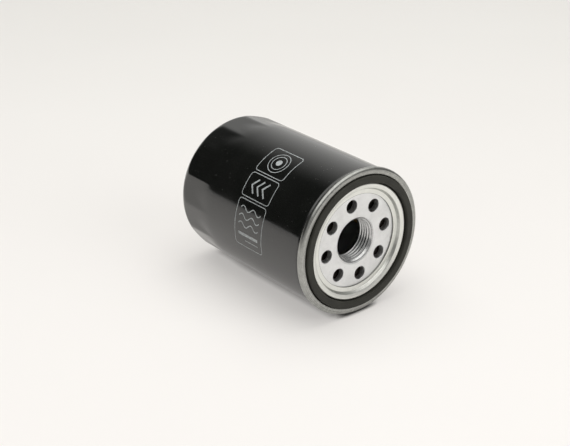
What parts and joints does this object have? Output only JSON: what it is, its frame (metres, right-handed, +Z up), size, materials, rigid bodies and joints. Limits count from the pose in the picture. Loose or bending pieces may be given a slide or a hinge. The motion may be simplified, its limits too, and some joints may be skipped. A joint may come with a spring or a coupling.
{
  "type": "oil filter",
  "caption": "Spin-on engine oil filter: black drawn can with wrench flats, rolled seam, gasket, threaded base plate, pleated element and bypass valve.",
  "frame": {"origin": "the middle of the gasket's sealing face, on the filter's axis", "axes": "+Z is up with the filter lying on its side, +Y runs into the filter along its axis from the mouth to the closed end, +X is to the right when facing the mouth"},
  "size_m": [0.0676, 0.092, 0.0676],
  "materials": {
    "can_paint": "gloss black stove enamel on drawn steel",
    "tinned_sheet": "bright tinned sheet steel",
    "sealant": "dull cured seam compound",
    "plate_steel": "zinc-plated pressed steel",
    "gasket_rubber": "matt black moulded rubber",
    "valve_rubber": "matt dark rubber",
    "cap_steel": "tinned sheet steel",
    "adhesive": "cured potting adhesive",
    "tube_steel": "perforated sheet steel",
    "filter_paper": "resin-treated pleated paper",
    "clip_steel": "folded sheet steel",
    "valve_steel": "stamped sheet steel",
    "spring_steel": "oiled spring steel"
  },
  "bodies": {
    "housing": {"can": "can_paint", "seam_plate": "tinned_sheet", "seam_sealant": "sealant", "base_plate": "plate_steel", "gasket": "gasket_rubber", "element_spring": "spring_steel"},
    "element": {"front_end_cap": "cap_steel", "front_bond_ring": "adhesive", "centre_tube": "tube_steel", "pleated_media": "filter_paper", "media_seam_clip": "clip_steel", "rear_bond_ring": "adhesive", "rear_end_cap": "cap_steel", "bypass_seat": "valve_steel", "bypass_cage": "valve_steel", "bypass_spring": "spring_steel"},
    "bypass_valve": {"bypass_poppet": "valve_steel", "bypass_seal": "valve_rubber", "bypass_stem": "valve_steel"},
    "anti_drain_valve": {"anti_drain_back_valve": "valve_rubber"}
  },
  "joints": [
    {"name": "element_float", "type": "slide", "parent": "housing", "child": "element", "axis": [0, 1, 0], "range_m": [0, 0.002], "stiffness_N_per_m": 5000, "springref_m": -0.006, "deforming": ["element_spring"]},
    {"name": "bypass_slide", "type": "slide", "parent": "element", "child": "bypass_valve", "axis": [0, -1, 0], "range_m": [0, 0.0035], "stiffness_N_per_m": 1500, "springref_m": -0.008, "deforming": ["bypass_spring"]},
    {"name": "anti_drain_lift", "type": "slide", "parent": "housing", "child": "anti_drain_valve", "axis": [0, 1, 0], "range_m": [0, 0.0015], "stiffness_N_per_m": 400, "springref_m": -0.0005, "deforming": ["anti_drain_back_valve"]}
  ]
}
